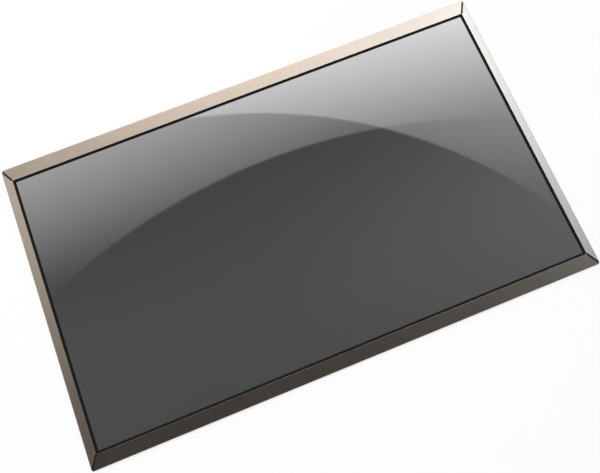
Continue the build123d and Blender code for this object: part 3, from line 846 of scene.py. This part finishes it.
class PANEL_OT_cell(bpy.types.Operator):
    """Finish the liquid crystal cell: the glossy face, the glass and the tape under it"""

    bl_idname = "screen_panel.cell"
    bl_label = "Screen Cell"

    def execute(self, context):
        finish = context.scene.panel_screen
        dress("front_polarizer", self.face(finish))
        glass = clear_sheet("cell_glass", finish.glass, 0.02, ior=1.52)
        for node in ("colour_filter_glass", "array_glass"):
            dress(node, glass)
        dress("rear_polarizer", moulded("rear_polarizer_film", finish.film, 0.3, depth=0.001 * MM))
        dress("mounting_tape", moulded("tape_black", finish.tape, 0.7))
        return {"FINISHED"}

    def face(self, settings):
        """Makes the screen's face: an unlit picture area in a black mask, under a hard gloss coat."""
        finish = Finish("screen_gloss", ior=settings.gloss)
        graph = finish.graph
        low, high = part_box("front_polarizer")
        past = finish.outside((low + high) / 2, settings.picture)
        outside = graph.ramp(past, -0.05 * MM, 0.05 * MM)
        marks = finish.effect("Handling marks", scale=FACE_MARKS)["Mask"]
        mottle = finish.effect("Moulded mottle", scale=FACE_GRIT)["Tone"]
        picture = finish.shades(mottle, settings.face, FACE_SHADES)
        finish.set("Base Color", graph.mix(outside, picture, settings.border))
        rough = settings.roughness
        finish.set("Roughness", finish.roughness(marks, rough, rough + 0.02))
        return finish.material


class PANEL_OT_mould_frame(bpy.types.Operator):
    """Finish the moulded frame that everything sits in"""

    bl_idname = "screen_panel.mould_frame"
    bl_label = "Mould Frame"

    def execute(self, context):
        finish = context.scene.panel_back
        plastic = moulded("frame_black", finish.plastic, 0.5)
        soften("mould_frame", "moulded_frame", finish.edge, plastic, "frame_plastic")
        return {"FINISHED"}


class PANEL_OT_backlight(bpy.types.Operator):
    """Finish the backlight's films, light guide and reflector"""

    bl_idname = "screen_panel.backlight"
    bl_label = "Backlight Sheets"

    def execute(self, context):
        finish = context.scene.panel_backlight
        milky = moulded("diffuser_milky", finish.diffuser, 0.75, scale=9000.0, depth=0.004 * MM)
        for node in ("upper_diffuser", "lower_diffuser"):
            dress(node, milky)
        for axis, node in enumerate(("upper_prism_sheet", "lower_prism_sheet")):
            dress(node, ridged_film(node + "_film", finish.prism, finish.ridge, axis))
        dress("light_guide", dotted_acrylic("guide_dotted", finish.guide, finish.dots))
        dress("reflector_sheet", moulded("reflector_bright", finish.reflector, 0.3, depth=0.002 * MM))
        return {"FINISHED"}


class PANEL_OT_lamps(bpy.types.Operator):
    """Build the LED packages with their phosphor windows, and finish their strip"""

    bl_idname = "screen_panel.lamps"
    bl_label = "LED Strip"

    def execute(self, context):
        finish = context.scene.panel_backlight
        circuit = context.scene.panel_circuit
        dress("led_strip", flex_circuit("strip_flex", circuit, circuit.pad, 1))
        bm = bmesh.new()
        for points in islands("led_packages"):
            self.package(bm, *points_box(points), finish.window, circuit.edge)
        resin = moulded("led_resin", finish.resin, 0.5)
        phosphor = moulded("led_phosphor", finish.phosphor, 0.6, scale=9000.0)
        add_piece("led_row", bm, [resin, phosphor], "led_resin", "led_packages")
        return {"FINISHED"}

    def package(self, bm, low, high, window, edge):
        """Adds one package, open to the light guide on its -Y side."""
        wall = 2 * edge
        steps = ((high.y, edge), (high.y - edge, 0.0), (low.y + edge, 0.0), (low.y, edge), (low.y, wall),
                 (low.y + window, wall + edge))
        stepped(bm, low, high, 1, edge, steps, [0] * 5, (0, 1))


class PANEL_OT_drivers(bpy.types.Operator):
    """Finish the driver chips on the glass and the films that join them to the board"""

    bl_idname = "screen_panel.drivers"
    bl_label = "Screen Drivers"

    def execute(self, context):
        finish = context.scene.panel_circuit
        bm = bmesh.new()
        for points in islands("driver_chips"):
            block(bm, *points_box(points), finish.edge)
        silicon = moulded("driver_silicon", finish.silicon, 0.22, depth=0.001 * MM)
        add_piece("driver_bars", bm, [silicon], "chip_resin", "driver_chips")
        dress("driver_films", flex_circuit("film_flex", finish, finish.pad, 0))
        return {"FINISHED"}


class PANEL_OT_board(bpy.types.Operator):
    """Finish the control board and the clear film over it"""

    bl_idname = "screen_panel.board"
    bl_label = "Control Board"

    def execute(self, context):
        dress("control_board", solder_mask("board_mask", context.scene.panel_circuit))
        dress("board_film", clear_sheet("board_cover_film", context.scene.panel_back.film, 0.08))
        return {"FINISHED"}


class PANEL_OT_chips(bpy.types.Operator):
    """Build the timing chip and the power chip with their leads"""

    bl_idname = "screen_panel.chips"
    bl_label = "Board Chips"

    def execute(self, context):
        finish = context.scene.panel_circuit
        resin = moulded("chip_black", finish.chip, 0.6)
        tin = drawn_metal("lead_tin", finish.tin, 0.35, (4000.0, 4000.0, 4000.0))
        for node, name in (("timing_chip", "timing_package"), ("power_chip", "power_package")):
            bm = bmesh.new()
            self.package(bm, *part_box(node), finish)
            add_piece(name, bm, [resin, tin], "chip_resin", node)
        return {"FINISHED"}

    def package(self, bm, low, high, settings):
        """Adds a flat package with a marking dimple and a row of leads along each side."""
        edge = settings.edge
        stand = Vector((settings.lead, settings.lead, 0.0))
        body_low, body_high = low + stand, high - stand
        steps = ((high.z, 0.0), (low.z + edge, 0.0), (low.z, edge))
        rings = stepped(bm, body_low, body_high, 2, edge, steps, [0, 0], (0, None))
        dimple = DIMPLE_EDGES * edge
        corner = low + dimple * DIMPLE_PLACE * Vector((1.0, 1.0, 0.0))
        pocket(bm, rings[-1], circle(corner, dimple, 20), Vector((0.0, 0.0, edge)), 0.9)
        pitch = settings.lead_pitch
        count = int((high.x - low.x) / pitch) - 2
        middle = (low + high) / 2
        for i in range(count):
            along = (i - (count - 1) / 2) * pitch
            for axis in (0, 1):
                for inner, outer in ((body_low[axis], low[axis]), (body_high[axis], high[axis])):
                    first, last = Vector(middle), Vector(middle)
                    first[axis], last[axis] = min(inner, outer), max(inner, outer)
                    first[1 - axis] += along - pitch / 4
                    last[1 - axis] += along + pitch / 4
                    first.z, last.z = high.z - pitch / 2, high.z
                    block(bm, first, last, settings.lead / 5, material=1)


class PANEL_OT_inductor(bpy.types.Operator):
    """Build the power inductor with its terminals"""

    bl_idname = "screen_panel.inductor"
    bl_label = "Power Inductor"

    def execute(self, context):
        finish = context.scene.panel_circuit
        low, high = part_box("power_inductor")
        edge = finish.edge
        stand = Vector((2 * finish.lead, 0.0, 0.0))
        body_low, body_high = low + stand, high - stand
        corner = INDUCTOR_CORNER * (high.x - low.x)
        bm = bmesh.new()
        steps = ((high.z, edge), (high.z - edge, 0.0), (low.z + edge, 0.0), (low.z, edge))
        stepped(bm, body_low, body_high, 2, corner, steps, [0] * 3, (0, 0))
        for inner, outer in ((body_low.x, low.x), (body_high.x, high.x)):
            first = Vector((min(inner, outer), low.y + TERMINAL_INSET * corner, (low.z + high.z) / 2))
            last = Vector((max(inner, outer), high.y - TERMINAL_INSET * corner, high.z))
            block(bm, first, last, finish.lead / 3, material=1)
        ferrite = moulded("inductor_grey", finish.ferrite, 0.7, scale=7000.0, depth=0.02 * MM)
        tin = drawn_metal("terminal_tin", finish.tin, 0.35, (4000.0, 4000.0, 4000.0))
        add_piece("inductor_body", bm, [ferrite, tin], "inductor_ferrite", "power_inductor")
        return {"FINISHED"}


class PANEL_OT_capacitors(bpy.types.Operator):
    """Build the ceramic capacitors with their tinned ends"""

    bl_idname = "screen_panel.capacitors"
    bl_label = "Capacitors"

    def execute(self, context):
        finish = context.scene.panel_circuit
        edge, cap = finish.edge, finish.end_cap
        bm = bmesh.new()
        for points in islands("capacitors"):
            low, high = points_box(points)
            steps = ((low.x, edge), (low.x + edge, 0.0), (low.x + cap, 0.0), (low.x + cap, finish.lead),
                     (high.x - cap, finish.lead), (high.x - cap, 0.0), (high.x - edge, 0.0), (high.x, edge))
            stepped(bm, low, high, 0, edge, steps, [1, 1, 1, 0, 1, 1, 1], (1, 1))
        ceramic = moulded("capacitor_brown", finish.ceramic, 0.45, scale=7000.0)
        tin = drawn_metal("end_tin", finish.tin, 0.38, (5000.0, 5000.0, 5000.0))
        add_piece("capacitor_set", bm, [ceramic, tin], "capacitor_ceramic", "capacitors")
        return {"FINISHED"}


class PANEL_OT_sockets(bpy.types.Operator):
    """Finish the cable's socket and the LED strip's socket, and build the contacts"""

    bl_idname = "screen_panel.sockets"
    bl_label = "Sockets"

    def execute(self, context):
        finish = context.scene.panel_circuit
        ivory = moulded("socket_ivory", finish.socket, 0.45)
        soften("display_connector", "display_socket", finish.edge, ivory, "socket_resin")
        soften("led_connector", "led_socket", finish.edge, ivory, "socket_resin")
        gold = drawn_metal("contact_gold", finish.gold, 0.25, (3000.0, 300.0, 3000.0))
        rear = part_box("display_connector")[0].y
        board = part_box("control_board")[0].z
        bm = bmesh.new()
        for points in islands("display_contacts"):
            low, high = points_box(points)
            self.beam(bm, low, high)
            first = Vector((low.x, rear - finish.tail, board - (high.z - low.z)))
            block(bm, first, Vector((high.x, rear, board)), (high.z - low.z) / 5)
        add_piece("contact_row", bm, [gold], "contact_metal", "display_contacts")
        return {"FINISHED"}

    def beam(self, bm, low, high):
        """Adds one contact, a strip whose free end dips to the plug and turns up at the tip."""
        sheet = high.z - low.z
        reach = high.y - low.y
        loops = []
        for share, dip in CONTACT_BENDS:
            loop = plate(low, high, 1, low.y + share * reach, 0.0, sheet / 5)
            loops.append([point - Vector((0.0, 0.0, dip * sheet)) for point in loop])
        skin(bm, loops, [0] * (len(loops) - 1), (0, 0))


class PANEL_OT_cover(bpy.types.Operator):
    """Finish the pressed back cover"""

    bl_idname = "screen_panel.cover"
    bl_label = "Back Cover"

    def execute(self, context):
        finish = context.scene.panel_back
        sheet = drawn_metal("cover_rolled", finish.cover, 0.4, (40.0, 2500.0, 2500.0))
        soften("back_cover", "pressed_cover", finish.edge, sheet, "cover_metal")
        return {"FINISHED"}


class PANEL_OT_screws(bpy.types.Operator):
    """Build the screws of the cover and of the board, with cross recesses and threads"""

    bl_idname = "screen_panel.screws"
    bl_label = "Screws"

    def execute(self, context):
        finish = context.scene.panel_back
        zinc = drawn_metal("screw_zinc", finish.steel, 0.32, (5000.0, 5000.0, 5000.0))
        for node, name in (("cover_screws", "cover_screw_set"), ("board_screws", "board_screw_set")):
            bm = bmesh.new()
            for points in islands(node):
                self.screw(bm, points, finish)
            add_piece(name, bm, [zinc], "screw_steel", node)
        return {"FINISHED"}

    def screw(self, bm, points, settings):
        """Adds one screw, with its head down, in the place of a plain one."""
        low, high, middle, found = turned_points(points)
        head = max(reach for reach, _ in found)
        shank = max(reach for reach, level in found if level > high.z - settings.edge)
        seat = max(level for reach, level in found if reach > (head + shank) / 2)
        tall = seat - low.z
        crown = HEAD_CROWN * tall
        pitch, depth = settings.thread_pitch, settings.thread_depth
        ripple = thread(-depth, pitch)
        rings = []
        for turn in levels(0.0, pi / 2, pi / 8):
            rings.append((head - crown * (1 - sin(turn)), low.z + crown * (1 - cos(turn)), None))
        rings += [(head, seat, None), (shank - depth, seat, None)]
        threaded = levels(seat + pitch / 4, high.z - pitch / 2, pitch / 8)
        rings += [(shank, level, ripple) for level in threaded]
        rings.append((shank - depth, high.z, None))
        loops = turned(middle, rings, settings.segments)
        made = skin(bm, loops, [0] * (len(loops) - 1), (None, 0))
        arm, half = RECESS_ARM * head, RECESS_HALF * head
        face = Vector((middle.x, middle.y, low.z))
        corners = [Vector(corner) for corner in ((arm, -half, 0), (arm, half, 0), (half, half, 0))]
        turns = [Matrix.Rotation(quarter * pi / 2, 3, "Z") for quarter in range(4)]
        outline = [face + turn @ corner for turn in turns for corner in corners]
        pocket(bm, made[0], outline, Vector((0.0, 0.0, RECESS_DEPTH * tall)), RECESS_TAPER)


class PANEL_OT_inserts(bpy.types.Operator):
    """Build the knurled and tapped inserts for the panel's fixing screws"""

    bl_idname = "screen_panel.inserts"
    bl_label = "Mount Inserts"

    def execute(self, context):
        finish = context.scene.panel_back
        brass = drawn_metal("insert_turned", finish.brass, 0.28, (600.0, 600.0, 6000.0))
        bm = bmesh.new()
        for points in islands("mount_inserts"):
            self.insert(bm, points, finish)
        add_piece("insert_set", bm, [brass], "insert_brass", "mount_inserts")
        return {"FINISHED"}

    def insert(self, bm, points, settings):
        """Adds one insert, with its bore open to the back."""
        low, high, middle, found = turned_points(points)
        outer = max(reach for reach, _ in found)
        bore = min(reach for reach, _ in found if reach > settings.edge)
        floor = max(level for reach, level in found if reach < (bore + outer) / 2)
        pitch, depth = settings.thread_pitch, settings.thread_depth
        edge = 1.5 * settings.edge
        ripple = thread(depth, pitch)

        def knurl(angle, height):
            turn = settings.knurls * angle / (2 * pi)
            lift = height / settings.knurl_pitch
            return -settings.knurl_depth * (1.0 - saw(turn + lift) * saw(turn - lift))

        rings = [(bore, floor, None)]
        threaded = levels(floor - pitch / 4, low.z + pitch / 2, pitch / 8)
        rings += [(bore, level, ripple) for level in threaded]
        rings += [(bore + depth, low.z, None), (outer - edge, low.z, None), (outer, low.z + edge, None)]
        rings += [(outer, level, knurl) for level in levels(low.z + 2 * edge, high.z - 2 * edge, pitch / 4)]
        rings += [(outer, high.z - edge, None), (outer - edge, high.z, None)]
        loops = turned(middle, rings, 4 * settings.knurls)
        skin(bm, loops, [0] * (len(loops) - 1), (0, 0))


class PANEL_OT_stage(bpy.types.Operator):
    """Set the floor, the light and the camera"""

    bl_idname = "screen_panel.stage"
    bl_label = "Studio Stage"

    def execute(self, context):
        settings = context.scene.panel_stage
        self.floor(settings)
        self.world(context.scene, settings)
        self.lamp(settings)
        self.camera(context.scene, settings)
        context.scene.view_settings.view_transform = "Standard"
        return {"FINISHED"}

    def floor(self, settings):
        """Lays a pale floor that shows white and still takes the part's shadow."""
        bm = bmesh.new()
        bmesh.ops.create_grid(bm, x_segments=1, y_segments=1, size=FLOOR_HALF)
        bmesh.ops.translate(bm, verts=bm.verts, vec=(0.0, 0.0, CAD_BOX[0][2] - FLOOR_GAP))
        mesh = bpy.data.meshes.new("floor")
        bm.to_mesh(mesh)
        bm.free()
        floor = bpy.data.objects.new("floor", mesh)
        bpy.context.scene.collection.objects.link(floor)
        material = bpy.data.materials.new("floor_white")
        material.use_nodes = True
        graph = Graph(material.node_tree)
        material.node_tree.nodes.clear()
        path = graph.node("ShaderNodeLightPath").outputs
        seen = graph.math("MAXIMUM", path["Is Glossy Ray"], path["Is Transmission Ray"])
        seen = graph.math("MAXIMUM", path["Is Camera Ray"], seen)
        plain = graph.node("ShaderNodeBsdfDiffuse", {"Color": settings.floor}).outputs[0]
        white = graph.node("ShaderNodeEmission", {"Color": WHITE, "Strength": 1.0}).outputs[0]
        share = graph.times(seen, 1.0 - settings.floor_shadow)
        mixed = graph.node("ShaderNodeMixShader", {0: share, 1: plain, 2: white}).outputs[0]
        graph.node("ShaderNodeOutputMaterial", {"Surface": mixed})
        mesh.materials.append(material)

    def world(self, scene, settings):
        """Lights the part evenly, and shows its gloss some soft boxes, two curved sheets and a strip."""
        world = bpy.data.worlds.new("studio")
        world.use_nodes = True
        scene.world = world
        graph = Graph(world.node_tree)
        world.node_tree.nodes.clear()
        way = graph.node("ShaderNodeTexCoord").outputs["Generated"]
        x, y, z = graph.axes(way)
        sky = graph.vector("ADD", self.soft_boxes(graph, way, z, settings), [settings.dim_sky] * 3)
        sky = graph.vector("ADD", sky, self.overhead(graph, x, y, z, settings))
        path = graph.node("ShaderNodeLightPath").outputs
        seen = graph.math("MAXIMUM", path["Is Camera Ray"], path["Is Transmission Ray"])
        colour = graph.mix(path["Is Glossy Ray"], [settings.fill] * 3, sky)
        colour = graph.mix(seen, colour, WHITE)
        light = graph.node("ShaderNodeBackground", {"Color": colour, "Strength": 1.0}).outputs[0]
        graph.node("ShaderNodeOutputWorld", {"Surface": light})

    def soft_boxes(self, graph, way, height, settings):
        """Returns the light of three bright soft boxes that end below the zenith, and of a faint one."""
        total = (0.0, 0.0, 0.0)
        for name in ("top", "left", "right"):
            total = graph.vector("ADD", total, self.soft_box(graph, way, name, settings))
        ends = graph.ramp(height, settings.box_end[0], settings.box_end[1], 1.0, 0.0)
        total = graph.vector("MULTIPLY", total, graph.grey(ends))
        return graph.vector("ADD", total, self.soft_box(graph, way, "low", settings))

    def soft_box(self, graph, way, name, settings):
        """Returns the light of one soft box."""
        middle = Vector(getattr(settings, name + "_box")).normalized()
        turned_away = graph.less(graph.measure("DOT_PRODUCT", way, middle), 1.0)
        falloff = getattr(settings, name + "_falloff")
        share = graph.math("EXPONENT", graph.times(turned_away, falloff))
        return graph.vector("MULTIPLY", graph.grey(share), getattr(settings, name + "_glow"))

    def overhead(self, graph, x, y, z, settings):
        """Returns the light of the two curved sheets and of the strip overhead."""
        height = graph.math("MAXIMUM", z, LOWEST_SKY)
        across = graph.math("DIVIDE", x, height)
        along = graph.math("DIVIDE", y, height)
        spot = graph.node("ShaderNodeCombineXYZ", {0: across, 1: along}).outputs[0]
        start, slope = settings.wide_fade
        pairs = (((-start * slope, 0.0, slope), settings.wide_sheet),
                 (settings.side_fade, settings.side_sheet))
        wide, side = (
            graph.times(self.plane(graph, across, along, fade, settings.sheet_start),
                        self.beyond(graph, spot, sheet, settings.sheet_soft))
            for fade, sheet in pairs)
        reach = graph.math("MAXIMUM", graph.math("ABSOLUTE", across), graph.math("ABSOLUTE", along))
        ends = graph.ramp(reach, settings.sheet_end[0], settings.sheet_end[1], 1.0, 0.0)
        sheets = graph.times(graph.plus(wide, side), ends)
        middle, width = settings.strip_place
        away = graph.math("DIVIDE", graph.less(along, middle), width)
        share = graph.math("EXPONENT", graph.times(graph.times(away, away), -1.0))
        glow, rise, curve = settings.strip_glow
        rise = graph.plus(graph.times(across, curve), rise)
        strip = graph.math("MAXIMUM", graph.plus(graph.times(across, rise), glow), 0.0)
        strip = graph.times(graph.times(strip, share), ends)
        return graph.grey(graph.plus(sheets, strip))

    def plane(self, graph, across, along, fade, soft):
        """Returns a light with an even rise to the right and the top, never under 0, with a soft start."""
        rise = graph.plus(graph.times(across, fade[1]), graph.times(along, fade[2]))
        return graph.math("SMOOTH_MAX", graph.plus(rise, fade[0]), 0.0, soft)

    def beyond(self, graph, spot, sheet, soft):
        """Returns 1 outside a sheet's curved edge and 0 inside it."""
        away = graph.measure("DISTANCE", spot, (sheet[0], sheet[1], 0.0))
        return graph.ramp(away, sheet[2] - soft, sheet[2] + soft)

    def lamp(self, settings):
        """Hangs a large soft lamp overhead, which gloss doesn't show."""
        lamp = bpy.data.lights.new("key", "AREA")
        lamp.shape = "DISK"
        lamp.size = KEY_SIZE
        lamp.energy = settings.key_power
        key = bpy.data.objects.new("key", lamp)
        key.location = KEY_PLACE
        key.rotation_euler = (-KEY_PLACE).to_track_quat("-Z", "Y").to_euler()
        key.visible_glossy = False
        bpy.context.scene.collection.objects.link(key)

    def camera(self, scene, settings):
        """Stands the camera at the photograph's viewing angle."""
        lens = bpy.data.cameras.new("camera")
        lens.sensor_width = SENSOR
        lens.lens = settings.lens
        lens.clip_start = NEAR_CLIP
        camera = bpy.data.objects.new("camera", lens)
        place = Vector(settings.camera_place)
        look = Vector(settings.camera_aim) - place
        level = look.to_track_quat("-Z", "Y")
        roll = Quaternion((0.0, 0.0, 1.0), -settings.camera_roll)
        camera.matrix_world = Matrix.Translation(place) @ (level @ roll).to_matrix().to_4x4()
        scene.collection.objects.link(camera)
        scene.camera = camera


PIECES = (
    PANEL_OT_bezel, PANEL_OT_gasket, PANEL_OT_cell, PANEL_OT_mould_frame, PANEL_OT_backlight,
    PANEL_OT_lamps, PANEL_OT_drivers, PANEL_OT_board, PANEL_OT_chips, PANEL_OT_inductor,
    PANEL_OT_capacitors, PANEL_OT_sockets, PANEL_OT_cover, PANEL_OT_screws, PANEL_OT_inserts,
    PANEL_OT_stage,
)
SETTINGS = {
    "panel_bezel": BezelFinish,
    "panel_screen": ScreenFinish,
    "panel_backlight": BacklightFinish,
    "panel_circuit": CircuitFinish,
    "panel_back": BackFinish,
    "panel_stage": StageSettings,
}


class PANEL_PT_sidebar(bpy.types.Panel):
    """Lists the panel's pieces and its stage"""

    bl_idname = "PANEL_PT_sidebar"
    bl_label = "Screen Panel"
    bl_space_type = "VIEW_3D"
    bl_region_type = "UI"
    bl_category = "Screen Panel"

    def draw(self, context):
        for piece in PIECES:
            self.layout.operator(piece.bl_idname)


def register():
    """Registers the settings, the operators and the sidebar."""
    for name, group in SETTINGS.items():
        bpy.utils.register_class(group)
        setattr(bpy.types.Scene, name, PointerProperty(type=group))
    for piece in (*PIECES, PANEL_PT_sidebar):
        bpy.utils.register_class(piece)


def unregister():
    """Takes back what register added."""
    for piece in reversed((*PIECES, PANEL_PT_sidebar)):
        bpy.utils.unregister_class(piece)
    for name, group in reversed(SETTINGS.items()):
        delattr(bpy.types.Scene, name)
        bpy.utils.unregister_class(group)


def main():
    """Makes every piece and the stage."""
    register()
    for piece in PIECES:
        space, name = piece.bl_idname.split(".")
        getattr(getattr(bpy.ops, space), name)()


if __name__ == "__main__":
    main()
